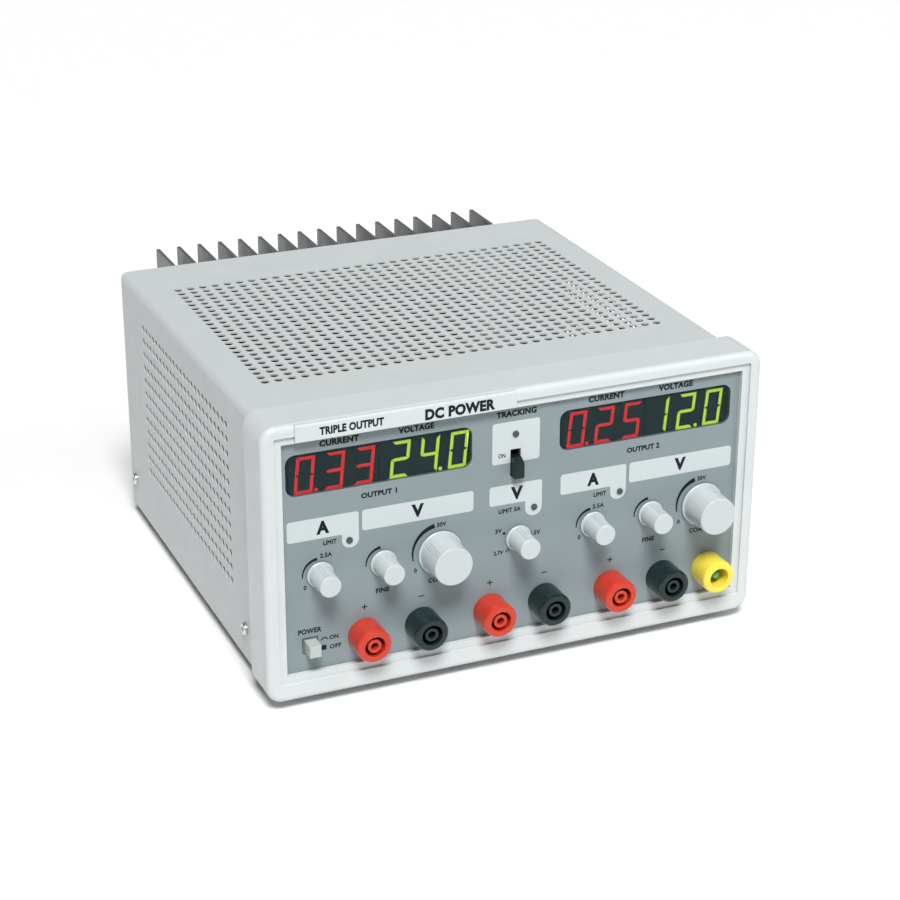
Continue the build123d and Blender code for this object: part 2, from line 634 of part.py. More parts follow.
def make_heat_sink():
    half = FIN_PITCH * (FIN_COUNT - 1) / 2 + FIN_THICKNESS / 2
    sink = block(SINK_CENTRE_X - half, SINK_CENTRE_X + half, COVER_REAR_Y,
                 COVER_REAR_Y + SINK_BASE, SINK_BOTTOM_Z, SINK_TOP_Z)
    for index in range(FIN_COUNT):
        x = SINK_CENTRE_X - half + index * FIN_PITCH
        sink += block(x, x + FIN_THICKNESS, COVER_REAR_Y + SINK_BASE, FIN_REAR_Y,
                      SINK_BOTTOM_Z, SINK_TOP_Z)
    save("heat_sink", sink)

    transistors = []
    for index in range(6):
        x = SINK_CENTRE_X + (index - 2.5) * 28
        case = block(x - 8, x + 8, COVER_REAR_Y - 5, COVER_REAR_Y, 88, 108)
        case -= disc(x, 103, 1.7, COVER_REAR_Y - 5, COVER_REAR_Y)
        for lead in (-5.4, 0, 5.4):
            case += block(x + lead - 0.6, x + lead + 0.6, COVER_REAR_Y - 3, COVER_REAR_Y - 2.2, 80, 88)
        transistors.append(case)
    save("power_transistors", *transistors)


def make_mains_inlet():
    cavity_floor = INLET_FLANGE_Y - CAVITY_DEPTH
    inlet = slab(outline(INLET_X - 26, INLET_X + 26, INLET_Z - 15, INLET_Z + 15, 2),
                 COVER_REAR_Y, INLET_FLANGE_Y)
    inlet += slab(outline(INLET_X - 23.5, INLET_X + 23.5, INLET_Z - 12.5, INLET_Z + 12.5),
                  INLET_BODY_Y, COVER_REAR_Y)
    half_width, half_height, corner = CAVITY_WIDTH / 2, CAVITY_HEIGHT / 2, 4.5
    cavity = make_face(Polyline(
        (-half_width, -half_height), (half_width, -half_height),
        (half_width, half_height - corner), (half_width - corner, half_height),
        (corner - half_width, half_height), (-half_width, half_height - corner), close=True))
    inlet -= slab(Pos(CAVITY_X, INLET_Z) * cavity, cavity_floor, INLET_FLANGE_Y)
    clear = 0.15
    drawer_pocket = block(
        DRAWER_X - DRAWER_WIDTH / 2 - clear, DRAWER_X + DRAWER_WIDTH / 2 + clear,
        INLET_FLANGE_Y - DRAWER_DEPTH - clear, INLET_FLANGE_Y,
        INLET_Z - DRAWER_HEIGHT / 2 - clear, INLET_Z + DRAWER_HEIGHT / 2 + clear)
    inlet -= drawer_pocket

    pins = []
    for x, z in ((-7, -2), (7, -2), (0, 2)):
        pin = block(CAVITY_X + x - 1, CAVITY_X + x + 1, INLET_BODY_Y - 8, INLET_FLANGE_Y - 2.5,
                    INLET_Z + z - 2, INLET_Z + z + 2)
        inlet -= pin
        pins.append(pin)
    save("mains_inlet", inlet)
    save("mains_inlet_pins", *pins)

    front = INLET_FLANGE_Y - DRAWER_DEPTH
    drawer = block(DRAWER_X - DRAWER_WIDTH / 2, DRAWER_X + DRAWER_WIDTH / 2, front, INLET_FLANGE_Y,
                   INLET_Z - DRAWER_HEIGHT / 2, INLET_Z + DRAWER_HEIGHT / 2)
    drawer += block(DRAWER_X - DRAWER_WIDTH / 2, DRAWER_X + DRAWER_WIDTH / 2, INLET_FLANGE_Y,
                    INLET_FLANGE_Y + 1.5, INLET_Z - 3, INLET_Z + 3)
    trough = block(DRAWER_X - 3, DRAWER_X + 3, front + 0.6, front + 21.0,
                   INLET_Z - 3, INLET_Z + DRAWER_HEIGHT / 2)
    save("fuse_drawer", drawer - trough)
    save("mains_fuse", disc(DRAWER_X, INLET_Z + 1, 2.6, front + 0.8, front + 20.8))


def make_transformer():
    x, y = TRANSFORMER_X, TRANSFORMER_Y
    base = TRAY_TOP_Z + 2.0
    core_half_x, core_half_y, core_height = 48.0, 24.0, 80.0
    window_width, window_height, yoke = 16.0, 48.0, 16.0
    core = block(x - core_half_x, x + core_half_x, y - core_half_y, y + core_half_y,
                 base, base + core_height)
    limb = core_half_x - yoke - window_width
    bottom = base + yoke
    top = bottom + window_height
    for side in (-1, 1):
        edges = sorted((x + side * limb, x + side * (limb + window_width)))
        core -= block(*edges, y - core_half_y, y + core_half_y, bottom, top)
    save("transformer_core", core)

    gap = 0.4
    overhang = 14.0
    coil = block(x - limb - window_width + gap, x + limb + window_width - gap,
                 y - core_half_y - overhang, y + core_half_y + overhang, bottom + gap, top - gap)
    coil = fillet(coil.edges().filter_by(Axis.Z), 5)
    coil -= block(x - limb - gap, x + limb + gap, y - core_half_y - gap, y + core_half_y + gap,
                  bottom, top)
    save("transformer_coil", coil)

    foot = 14.0
    plate = block(x - core_half_x - foot, x + core_half_x + foot, y - core_half_y, y + core_half_y,
                  TRAY_TOP_Z, base)
    clip = block(x - core_half_x - 1.5, x - core_half_x - 0.1, y - 12, y + 12, base,
                 base + core_height - 8)
    other_clip = block(x + core_half_x + 0.1, x + core_half_x + 1.5, y - 12, y + 12, base,
                       base + core_height - 8)
    save("transformer_bracket", plate + clip + other_clip)


def make_main_board():
    left, right, front, rear = -118.0, -8.0, 55.0, 215.0
    board = block(left, right, front, rear, MAIN_BOARD_Z, MAIN_BOARD_Z + BOARD_THICKNESS)
    standoffs = []
    for x in (left + 6, right - 6):
        for y in (front + 6, (front + rear) / 2, rear - 6):
            hexagon = Pos(x, y, TRAY_TOP_Z) * RegularPolygon(3.2, 6)
            standoffs.append(extrude(hexagon, STANDOFF_HEIGHT))
    save("main_board", board)
    save("board_standoffs", *standoffs)

    board_top = MAIN_BOARD_Z + BOARD_THICKNESS
    capacitors = []
    for x, y in ((-95, 90), (-60, 90), (-95, 130), (-60, 130)):
        can = Pos(x, y, board_top + 25) * Cylinder(14, 50)
        capacitors.append(fillet(can.faces().sort_by(Axis.Z)[-1].edges(), 1.5))
    save("filter_capacitors", *capacitors)
    bridges = []
    for y in (75, 110, 145):
        bridges.append(block(-36, -16, y - 2.5, y + 2.5, board_top, board_top + 20))
    save("bridge_rectifiers", *bridges)


make_bezel()
make_badge()
make_panel()
make_displays()
make_indicators()
for knob_name, (knob_x, knob_size, knob_setting) in KNOBS.items():
    make_knob(knob_name, knob_x, knob_size, knob_setting)
make_potentiometers()
make_sockets()
make_power_switch()
make_tracking_switch()
make_control_board()
make_cover()
make_screws()
make_tray()
make_feet()
make_rear_panel()
make_heat_sink()
make_mains_inlet()
make_transformer()
make_main_board()

os.makedirs("parts", exist_ok=True)
for node, shape in parts.items():
    export_step(Pos(0, -ORIGIN_Y, 0) * shape, f"parts/{node}.step")
print(len(parts), "nodes, origin shift", ORIGIN_Y)
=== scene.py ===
import json
from math import cos, pi, radians, sin, tan

import bmesh
import bpy
from mathutils import Matrix, Vector


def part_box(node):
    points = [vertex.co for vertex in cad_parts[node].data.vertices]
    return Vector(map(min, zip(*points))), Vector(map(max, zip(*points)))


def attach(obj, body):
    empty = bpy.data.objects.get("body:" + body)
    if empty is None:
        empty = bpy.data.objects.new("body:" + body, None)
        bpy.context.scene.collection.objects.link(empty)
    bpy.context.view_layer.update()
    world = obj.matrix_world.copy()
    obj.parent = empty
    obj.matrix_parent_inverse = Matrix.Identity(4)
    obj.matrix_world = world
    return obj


MM = 0.001
CASE = "case"

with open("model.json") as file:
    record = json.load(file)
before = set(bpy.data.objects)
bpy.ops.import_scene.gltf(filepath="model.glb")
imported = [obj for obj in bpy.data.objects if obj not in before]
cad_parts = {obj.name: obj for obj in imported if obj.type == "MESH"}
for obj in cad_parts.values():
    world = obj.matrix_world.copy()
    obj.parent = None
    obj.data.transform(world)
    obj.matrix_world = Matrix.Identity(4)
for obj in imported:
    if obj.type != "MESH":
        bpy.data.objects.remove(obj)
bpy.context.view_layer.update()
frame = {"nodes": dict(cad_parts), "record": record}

# ---------------------------------------------------------------- places
panel_low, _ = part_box("front_panel")
PANEL_Y = panel_low.y
PRINT_LEFT = panel_low.x + 3.35 * MM
PRINT_BOTTOM = panel_low.z + 3.0 * MM
FILM = 0.05 * MM  # label boxes and lit segments
INK = 2 * FILM  # dark print, which also lies on the label boxes
LABEL_CORNER = 1.5 * MM


def middle(node):
    """Centre of a CAD node's box."""
    low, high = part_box(node)
    return (low + high) / 2


# ---------------------------------------------------------------- camera and light
CAMERA_LENS = 89.73  # millimetres
CAMERA_SENSOR = 36.0
CAMERA_REACH = 20.0  # metres
CAMERA_PLACE = (-0.42822, -1.04484, 0.55627)
CAMERA_TURN = -23.27  # degrees
CAMERA_DOWN = 23.56
CAMERA_ROLL = 0.19

FILL_COLOUR = (0.97, 0.985, 1.0)
FILL_STRENGTH = 0.18
BACKGROUND_STRENGTH = 1.0
KEY_DIRECTION = (0.17, 0.55, -0.82)
KEY_POWER = 3.8
KEY_SPREAD = 20  # degrees
EDGE_PLACE = (0.9, -0.7, 0.9)
EDGE_TARGET = (0, -0.12, 0.07)
EDGE_SIZE = (0.3, 0.8)
EDGE_POWER = 3
FLOOR_SIZE = 14


def add_camera():
    data = bpy.data.cameras.new("camera")
    data.lens = CAMERA_LENS
    data.sensor_width = CAMERA_SENSOR
    data.clip_end = CAMERA_REACH
    camera = bpy.data.objects.new("camera", data)
    bpy.context.scene.collection.objects.link(camera)
    turn = Matrix.Rotation(radians(CAMERA_TURN), 3, "Z")
    tilt = Matrix.Rotation(radians(90 - CAMERA_DOWN), 3, "X")
    roll = Matrix.Rotation(radians(CAMERA_ROLL), 3, "Z")
    camera.location = CAMERA_PLACE
    camera.rotation_euler = (turn @ tilt @ roll).to_euler()
    bpy.context.scene.camera = camera


def add_light(name, kind, direction, power):
    """Lamp that shines along direction; returns its object."""
    data = bpy.data.lights.new(name, kind)
    data.energy = power
    light = bpy.data.objects.new(name, data)
    bpy.context.scene.collection.objects.link(light)
    light.rotation_euler = Vector(direction).to_track_quat("-Z", "Y").to_euler()
    return light


def add_world():
    """Weak fill light; beyond the floor's edge the camera sees it as pale as the floor."""
    world = bpy.data.worlds.new("studio")
    bpy.context.scene.world = world
    world.use_nodes = True
    nodes, links = world.node_tree.nodes, world.node_tree.links
    background = nodes["Background"]
    background.inputs["Color"].default_value = (*FILL_COLOUR, 1)
    path = nodes.new("ShaderNodeLightPath")
    strength = nodes.new("ShaderNodeMapRange")
    strength.inputs["To Min"].default_value = FILL_STRENGTH
    strength.inputs["To Max"].default_value = BACKGROUND_STRENGTH
    links.new(path.outputs["Is Camera Ray"], strength.inputs["Value"])
    links.new(strength.outputs["Result"], background.inputs["Strength"])


def add_studio():
    add_world()
    key = add_light("key", "SUN", KEY_DIRECTION, KEY_POWER)
    key.data.angle = radians(KEY_SPREAD)
    edge = add_light("edge", "AREA", Vector(EDGE_TARGET) - Vector(EDGE_PLACE), EDGE_POWER)
    edge.location = EDGE_PLACE
    edge.data.shape = "RECTANGLE"
    edge.data.size, edge.data.size_y = EDGE_SIZE

    bpy.ops.mesh.primitive_plane_add(size=FLOOR_SIZE, location=(0, 0, 0))
    floor = bpy.context.object
    floor.name = "floor"
    floor.data.materials.append(
        surface("floor_paper", (0.86, 0.86, 0.86), 0.9, mottle=0.01, grain=0.002, grain_scale=200))


# ---------------------------------------------------------------- materials
NOISE_LOW, NOISE_HIGH = 0.3, 0.7  # the range that most of a noise texture's values lie in
SMOOTHEST = 0.02
BUMP_DEPTH = 0.2 * MM
SCATTER_RADIUS = (1.0, 0.8, 0.7)


def surface(name, colour, roughness, metallic=0.0, mottle=0.04, mottle_scale=40.0,
            grain=0.05, grain_scale=1500.0, smudge=0.06, subsurface=0.0, depth=0.7 * MM,
            specular=0.5):
    """Procedural surface: colour mottling, fine grain as bump, and uneven roughness."""
    material = bpy.data.materials.new(name)
    material.use_nodes = True
    tree = material.node_tree
    nodes, links = tree.nodes, tree.links
    shader = nodes["Principled BSDF"]
    shader.inputs["Metallic"].default_value = metallic
    shader.inputs["Specular IOR Level"].default_value = specular
    if subsurface:
        shader.inputs["Subsurface Weight"].default_value = subsurface
        shader.inputs["Subsurface Radius"].default_value = SCATTER_RADIUS
        shader.inputs["Subsurface Scale"].default_value = depth
    where = nodes.new("ShaderNodeTexCoord")

    def noise(scale, detail):
        node = nodes.new("ShaderNodeTexNoise")
        node.inputs["Scale"].default_value = scale
        node.inputs["Detail"].default_value = detail
        links.new(where.outputs["Object"], node.inputs["Vector"])
        return node

    def stretched(source, low=0.0, high=1.0):
        """The noise's usual range, spread from low to high."""
        node = nodes.new("ShaderNodeMapRange")
        node.inputs["From Min"].default_value = NOISE_LOW
        node.inputs["From Max"].default_value = NOISE_HIGH
        node.inputs["To Min"].default_value = low
        node.inputs["To Max"].default_value = high
        links.new(source.outputs["Fac"], node.inputs["Value"])
        return node

    patches = stretched(noise(mottle_scale, 4.0))
    blend = nodes.new("ShaderNodeMix")
    blend.data_type = "RGBA"
    blend.inputs["A"].default_value = (*[c * (1 - mottle) for c in colour], 1)
    blend.inputs["B"].default_value = (*[min(1.0, c * (1 + mottle)) for c in colour], 1)
    links.new(patches.outputs["Result"], blend.inputs["Factor"])
    links.new(blend.outputs["Result"], shader.inputs["Base Color"])

    blotches = stretched(noise(mottle_scale * 2.3, 3.0),
                         max(SMOOTHEST, roughness - smudge), min(1.0, roughness + smudge))
    links.new(blotches.outputs["Result"], shader.inputs["Roughness"])

    fine = noise(grain_scale, 2.0)
    bump = nodes.new("ShaderNodeBump")
    bump.inputs["Strength"].default_value = grain
    bump.inputs["Distance"].default_value = BUMP_DEPTH
    links.new(fine.outputs["Fac"], bump.inputs["Height"])
    links.new(bump.outputs["Normal"], shader.inputs["Normal"])
    return material


def smoked_glass():
    """Dark tinted acrylic that lets the segments behind it show."""
    material = surface("smoked_acrylic", (0.010, 0.024, 0.027), 0.12, mottle=0.03, grain=0.004,
                       grain_scale=300, smudge=0.02, specular=0.35)
    material.node_tree.nodes["Principled BSDF"].inputs["Alpha"].default_value = 0.3
    return material


def clear_glass():
    """Clear tube glass."""
    material = surface("fuse_glass", (0.85, 0.87, 0.88), 0.06, mottle=0.02, grain=0.003,
                       grain_scale=300, smudge=0.02)
    material.node_tree.nodes["Principled BSDF"].inputs["Alpha"].default_value = 0.4
    return material


def lit(name, colour, strength):
    """Plastic of a lit display segment, which glows in its own colour."""
    material = surface(name, colour, 0.4, mottle=0.08, mottle_scale=300, grain=0.01)
    shader = material.node_tree.nodes["Principled BSDF"]
    shader.inputs["Emission Color"].default_value = (*colour, 1)
    shader.inputs["Emission Strength"].default_value = strength
    return material


# ---------------------------------------------------------------- mesh helpers
LETTER_SPACING = 1.06


def finish_piece(piece, material):
    """Gives a piece its material and slot; every added piece rides on the case."""
    piece.data.materials.append(material)
    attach(piece, CASE)


def new_piece(name, build):
    """Mesh object from build(bm)."""
    data = bpy.data.meshes.new(name)
    bm = bmesh.new()
    build(bm)
    bmesh.ops.recalc_face_normals(bm, faces=bm.faces)
    bm.to_mesh(data)
    bm.free()
    piece = bpy.data.objects.new(name, data)
    bpy.context.scene.collection.objects.link(piece)
    return piece


def rounded(corners, steps=6):
    """Closed outline from (x, z, radius) corners, with arcs at the corners."""
    outline = []
    count = len(corners)
    for index, (x, z, radius) in enumerate(corners):
        here = Vector((x, z))
        if radius <= 0:
            outline.append(here)
            continue
        before = (Vector(corners[index - 1][:2]) - here).normalized()
        after = (Vector(corners[(index + 1) % count][:2]) - here).normalized()
        half_angle = before.angle(after) / 2
        centre = here + (before + after).normalized() * radius / sin(half_angle)
        start = here + before * radius / tan(half_angle)
        end = here + after * radius / tan(half_angle)
        first, last = start - centre, end - centre
        turn = first.angle_signed(last)
        for step in range(steps + 1):
            angle = -turn * step / steps
            outline.append(centre + Vector((
                first.x * cos(angle) - first.y * sin(angle),
                first.x * sin(angle) + first.y * cos(angle),
            )))
    return outline


def add_prism(bm, outline, front_y, back_y):
    """Extrudes an X-Z outline between two Y planes."""
    front = [bm.verts.new((p[0], front_y, p[1])) for p in outline]
    back = [bm.verts.new((p[0], back_y, p[1])) for p in outline]
    bm.faces.new(front)
    bm.faces.new(list(reversed(back)))
    count = len(outline)
    for index in range(count):
        following = (index + 1) % count
        bm.faces.new((front[following], front[index], back[index], back[following]))


def printed(name, outlines, material, thickness=INK, base=PANEL_Y):
    """Thin print or film in front of base, made of one or more outlines."""
    def build(bm):
        for outline in outlines:
            add_prism(bm, outline, base - thickness, base)
    finish_piece(new_piece(name, build), material)


def text_mesh(text, boldness):
    """Mesh of a text 1 unit high, made bolder by a bevel that is boldness wide and deep."""
    curve = bpy.data.curves.new("letters", "FONT")
    curve.body = text
    curve.size = 1.0
    curve.bevel_depth = boldness
    curve.bevel_resolution = 0
    curve.resolution_u = 3
    curve.space_character = LETTER_SPACING
    holder = bpy.data.objects.new("letters", curve)
    bpy.context.scene.collection.objects.link(holder)
    bpy.context.view_layer.update()
    mesh = bpy.data.meshes.new_from_object(holder)
    bpy.data.objects.remove(holder)
    bpy.data.curves.remove(curve)
    return mesh


def lettering(words, name, material, base=PANEL_Y):
    """One piece of flat text. Each word is (text, left, right, bottom, top, boldness)."""
    def build(bm):
        for text, left, right, bottom, top, boldness in words:
            mesh = text_mesh(text, boldness)
            xs = [vertex.co.x for vertex in mesh.vertices]
            ys = [vertex.co.y for vertex in mesh.vertices]
            low_x, high_x, low_y, high_y = min(xs), max(xs), min(ys), max(ys)
            for vertex in mesh.vertices:
                across = (vertex.co.x - low_x) / (high_x - low_x)
                up = (vertex.co.y - low_y) / (high_y - low_y)
                rise = (vertex.co.z / boldness + 1) / 2
                vertex.co = (left + across * (right - left), base - INK * rise,
                             bottom + up * (top - bottom))
            bm.from_mesh(mesh)
            bpy.data.meshes.remove(mesh)
    finish_piece(new_piece(name, build), material)


# ---------------------------------------------------------------- panel print
# Places on the print are in millimetres, and so are its words' heights.
SECTION_PITCH = 144.0  # from the left output's labels to the right output's
SCALE_RADIUS = 9.1 * MM  # round the small knobs
COARSE_SCALE_RADIUS = 14.7 * MM
COARSE_SCALE_RISE = 1.2 * MM
SIGN_RISE = 15.1 * MM  # of the plus and minus signs over the sockets' middles
OUTLINE_REACH = (4.0 * MM, 4.2 * MM)  # of the power button's outline, each way from its middle
OUTLINE_WIDTH = 0.3 * MM

# Height and boldness of each kind of lettering
TITLE = (3.3, 0.048)
OUTPUT_NAME = (2.9, 0.048)
SWITCH_NAME = (2.9, 0.04)
KNOB_NAME = (2.6, 0.038)
SMALL = (2.4, 0.036)
SMALL_LIGHT = (2.4, 0.03)
UNIT = (7.0, 0.055)
STRIP_SMALL = (4.2, 0.05)
STRIP_LARGE = (5.8, 0.055)


def at(u, v):
    """Panel place in metres of the point u, v millimetres from the print's lower left corner."""
    return PRINT_LEFT + u * MM, PRINT_BOTTOM + v * MM


def label_box(left, right, bottom, top):
    x0, z0 = at(left, bottom)
    x1, z1 = at(right, top)
    return [(x0, z0, LABEL_CORNER), (x1, z0, LABEL_CORNER), (x1, z1, LABEL_CORNER),
            (x0, z1, LABEL_CORNER)]


def label_with_tab(left, right, bottom, top, tab_left, tab_bottom):
    """Label box whose right end reaches down round an indicator."""
    inner_corner = 0.8 * MM
    round_end = 4.2 * MM
    lower_left, lower_right, upper_right, upper_left = label_box(left, right, bottom, top)
    tab_x, tab_z = at(tab_left, tab_bottom)
    return [
        lower_left, (tab_x, lower_left[1], inner_corner), (tab_x, tab_z, round_end),
        (lower_right[0], tab_z, round_end), upper_right, upper_left,
    ]


def label_with_slot(left, right, bottom, top, slot_x, slot_width, slot_top):
    """Label box with a slot in its lower edge for a lever; slot_x and slot_width are in metres."""
    lower_left, lower_right, upper_right, upper_left = label_box(left, right, bottom, top)
    slot_left, slot_right = slot_x - slot_width / 2, slot_x + slot_width / 2
    low_z = lower_left[1]
    high_z = at(left, slot_top)[1]
    return [
        lower_left, (slot_left, low_z, 0), (slot_left, high_z, 0),
        (slot_right, high_z, 0), (slot_right, low_z, 0), lower_right, upper_right, upper_left,
    ]


def make_label_boxes(material):
    outlines = [label_with_slot(left=108.5, right=134.0, bottom=92.6, top=114.4,
                                slot_x=middle("tracking_slider").x, slot_width=5.5 * MM,
                                slot_top=99.6)]
    for shift in (0.0, SECTION_PITCH):
        outlines.append(label_with_tab(left=2.0 + shift, right=38.6 + shift, bottom=70.1, top=81.1,
                                       tab_left=29.9 + shift, tab_bottom=62.5))
        outlines.append(label_box(left=40.3 + shift, right=98.7 + shift, bottom=70.2, top=81.1))
    outlines.append(label_with_tab(left=107.3, right=135.8, bottom=70.5, top=80.9,
                                   tab_left=126.8, tab_bottom=62.0))
    printed("label_boxes", [rounded(outline) for outline in outlines], material,
            thickness=FILM)


def arc_outline(centre, radius, start, end, thin, thick, steps=20):
    """Crescent that widens from start to end, angles in degrees, outer radius fixed."""
    outer, inner = [], []
    for step in range(steps + 1):
        share = step / steps
        angle = radians(start + (end - start) * share)
        width = thin + (thick - thin) * share
        outer.append((centre.x + radius * cos(angle), centre.z + radius * sin(angle)))
        inner.append((centre.x + (radius - width) * cos(angle),
                      centre.z + (radius - width) * sin(angle)))
    return outer + inner[::-1]


def circle(x, z, radius, steps=20):
    return [(x + radius * cos(2 * pi * k / steps), z + radius * sin(2 * pi * k / steps))
            for k in range(steps)]


def make_scales(material):
    """Curved wedges round the knobs, and the two marks beside the trimmer."""
    outlines = []
    for side, coarse_end in (("left", 101), ("right", 108)):
        for name in ("current", "fine"):
            centre = middle(f"knob_{name}_{side}")
            outlines.append(arc_outline(centre, SCALE_RADIUS, 185, 98, 0.5 * MM, 1.5 * MM))
        centre = middle(f"knob_coarse_{side}") + Vector((0, 0, COARSE_SCALE_RISE))
        outlines.append(arc_outline(centre, COARSE_SCALE_RADIUS, 195, coarse_end, 0.6 * MM, 2.4 * MM))
    dot_x, dot_z = at(115.4, 54.8)
    outlines.append(circle(dot_x, dot_z, radius=0.75 * MM))
    printed("scale_arcs", outlines, material)

    ring_x, ring_z = at(117.3, 45.0)
    ring = arc_outline(Vector((ring_x, 0, ring_z)), radius=0.95 * MM, start=0, end=350,
                       thin=0.35 * MM, thick=0.35 * MM)
    printed("trimmer_ring", [ring], material)


def word(text, u0, u1, v, style):
    """Entry for lettering: text between u0 and u1, centred at v."""
    height, boldness = style
    x0, z0 = at(u0, v - height / 2)
    x1, z1 = at(u1, v + height / 2)
    return (text, x0, x1, z0, z1, boldness)


def make_lettering(material):
    words = [
        word("CURRENT", 19.4, 39.4, 119.2, TITLE),
        word("VOLTAGE", 59.4, 77.9, 119.2, TITLE),
        word("TRACKING", 110.6, 132.0, 118.7, TITLE),
        word("CURRENT", 160.2, 180.1, 119.2, TITLE),
        word("VOLTAGE", 199.1, 218.5, 119.2, TITLE),
        word("OUTPUT 1", 40.0, 58.5, 88.6, OUTPUT_NAME),
        word("OUTPUT 2", 182.5, 201.0, 88.2, OUTPUT_NAME),
        word("ON", 111.7, 115.6, 97.0, SMALL_LIGHT),
        word("LIMIT", 20.2, 27.1, 67.3, SMALL),
        word("LIMIT 5A", 112.4, 124.3, 67.0, SMALL),
        word("LIMIT", 164.6, 171.7, 67.0, SMALL),
        word("2.5A", 18.5, 24.7, 60.9, SMALL),
        word("2.5A", 164.2, 170.6, 60.6, SMALL),
        word("30V", 79.2, 84.3, 66.0, SMALL),
        word("30V", 223.8, 229.0, 65.6, SMALL),
        word("0", 9.8, 11.4, 45.3, SMALL),
        word("0", 67.1, 68.7, 43.4, SMALL),
        word("0", 156.4, 158.0, 44.9, SMALL),
        word("0", 213.2, 214.8, 43.1, SMALL),
        word("FINE", 47.0, 54.2, 36.3, KNOB_NAME),
        word("FINE", 193.4, 200.2, 36.4, KNOB_NAME),
        word("COARSE", 74.7, 87.3, 36.4, KNOB_NAME),
        word("COARSE", 220.5, 233.1, 36.6, KNOB_NAME),
        word("3V", 110.6, 114.3, 56.5, SMALL),
        word("2.7V", 109.9, 115.1, 44.5, SMALL),
        word("5.5V", 129.6, 135.3, 52.1, SMALL),
        word("POWER", 6.4, 18.5, 21.5, SWITCH_NAME),
        word("ON", 22.5, 27.1, 15.9, SMALL),
        word("OFF", 22.5, 28.6, 10.7, SMALL),
    ]
    half_width = 3.3
    for letter, u in (("A", 20.2), ("V", 69.2), ("V", 122.1), ("A", 164.1), ("V", 213.3)):
        words.append(word(letter, u - half_width, u + half_width, 75.8, UNIT))
    lettering(words, "panel_lettering", material)

    strip_words = [
        word("TRIPLE OUTPUT", 18.2, 50.5, 127.4, STRIP_SMALL),
        word("DC POWER", 71.5, 108.0, 127.0, STRIP_LARGE),
    ]
    strip_low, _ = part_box("badge_plate")
    lettering(strip_words, "badge_lettering", material, base=strip_low.y)


def bar(x0, x1, z0, z1):
    return [(x0, z0), (x1, z0), (x1, z1), (x0, z1)]


def make_signs(material):
    """Plus and minus signs over the sockets, and the power button's outline and marks."""
    outlines = []
    arm, half = 1.5 * MM, 0.25 * MM
    for number in (1, 2, 3):
        for sign in ("positive", "negative"):
            socket = middle(f"socket_{number}_{sign}")
            x, z = socket.x, socket.z + SIGN_RISE
            outlines.append(bar(x - arm, x + arm, z - half, z + half))
            if sign == "positive":
                outlines.append(bar(x - half, x + half, z - arm, z - half))
                outlines.append(bar(x - half, x + half, z + half, z + arm))

    button = middle("power_button")
    reach_x, reach_z = OUTLINE_REACH
    left, right = button.x - reach_x, button.x + reach_x
    bottom, top = button.z - reach_z, button.z + reach_z
    inner_left, inner_right = left + OUTLINE_WIDTH, right - OUTLINE_WIDTH
    outlines.append(bar(left, inner_left, bottom, top))
    outlines.append(bar(inner_right, right, bottom, top))
    outlines.append(bar(inner_left, inner_right, top - OUTLINE_WIDTH, top))
    outlines.append(bar(inner_left, inner_right, bottom, bottom + OUTLINE_WIDTH))
    square_x, square_z = at(18.2, 9.7)
    side = 2.6 * MM
    outlines.append(bar(square_x, square_x + side, square_z, square_z + side))
    printed("panel_signs", outlines, material)

    # A raised bar between two low ends, in millimetres
    step = [(0, 0), (0.9, 0), (1.3, 0.8), (2.9, 0.8), (3.3, 0), (3.9, 0),
            (3.9, 0.45), (3.6, 0.45), (3.1, 1.3), (1.1, 1.3), (0.7, 0.45), (0, 0.45)]
    printed("on_mark", [[at(17.8 + u, 15.2 + v) for u, v in step]], material)


# ---------------------------------------------------------------- displays
SEGMENTS = {
    "0": "abcdef", "1": "bc", "2": "abged", "3": "abgcd", "4": "fgbc", "5": "afgcd",
    "6": "afgedc", "7": "abc", "8": "abcdefg", "9": "abcdfg",
}
DIGIT_WIDTH = 9.4 * MM
DIGIT_HEIGHT = 18.9 * MM
DIGIT_PITCH = 15.2 * MM
DIGIT_DROP = 1.2 * MM  # below the middle of the display module
SEGMENT = 1.6 * MM
SEGMENT_GAP = 0.1 * MM
POINT_RADIUS = 0.95 * MM
POINT_SHIFT = 1.9 * MM
SLANT = tan(radians(5.5))


def segment_outlines():
    """The seven bars of one digit, before the slant, mitred where they meet."""
    gap, half = SEGMENT_GAP, SEGMENT / 2
    wide, tall = DIGIT_WIDTH, DIGIT_HEIGHT
    centre = tall / 2
    inner_left, inner_right = SEGMENT + gap, wide - SEGMENT - gap

    def across(outer_z, inner_z):
        return [(gap, outer_z), (wide - gap, outer_z), (inner_right, inner_z), (inner_left, inner_z)]

    def upright(outer_x, inner_x, end_z, inward):
        return [(outer_x, end_z + inward * gap), (inner_x, end_z + inward * (SEGMENT + gap)),
                (inner_x, centre - inward * (half + gap)), (outer_x, centre - inward * gap)]

    return {
        "a": across(tall, tall - SEGMENT), "d": across(0, SEGMENT),
        "g": [(2 * gap, centre), (inner_left, centre + half), (inner_right, centre + half),
              (wide - 2 * gap, centre), (inner_right, centre - half), (inner_left, centre - half)],
        "f": upright(0, SEGMENT, tall, -1), "b": upright(wide, wide - SEGMENT, tall, -1),
        "e": upright(0, SEGMENT, 0, 1), "c": upright(wide, wide - SEGMENT, 0, 1),
    }


def digit_group(number, left, bottom):
    """Outlines of the lit segments of a number and of its point."""
    bars = segment_outlines()
    outlines = []
    point_after = number.index(".") - 1
    for place, digit in enumerate(number.replace(".", "")):
        start = left + place * DIGIT_PITCH
        for letter in SEGMENTS[digit]:
            outlines.append([(start + x + z * SLANT, bottom + z) for x, z in bars[letter]])
        if place == point_after:
            outlines.append(circle(start + DIGIT_WIDTH + POINT_SHIFT, bottom + POINT_RADIUS,
                                   POINT_RADIUS))
    return outlines


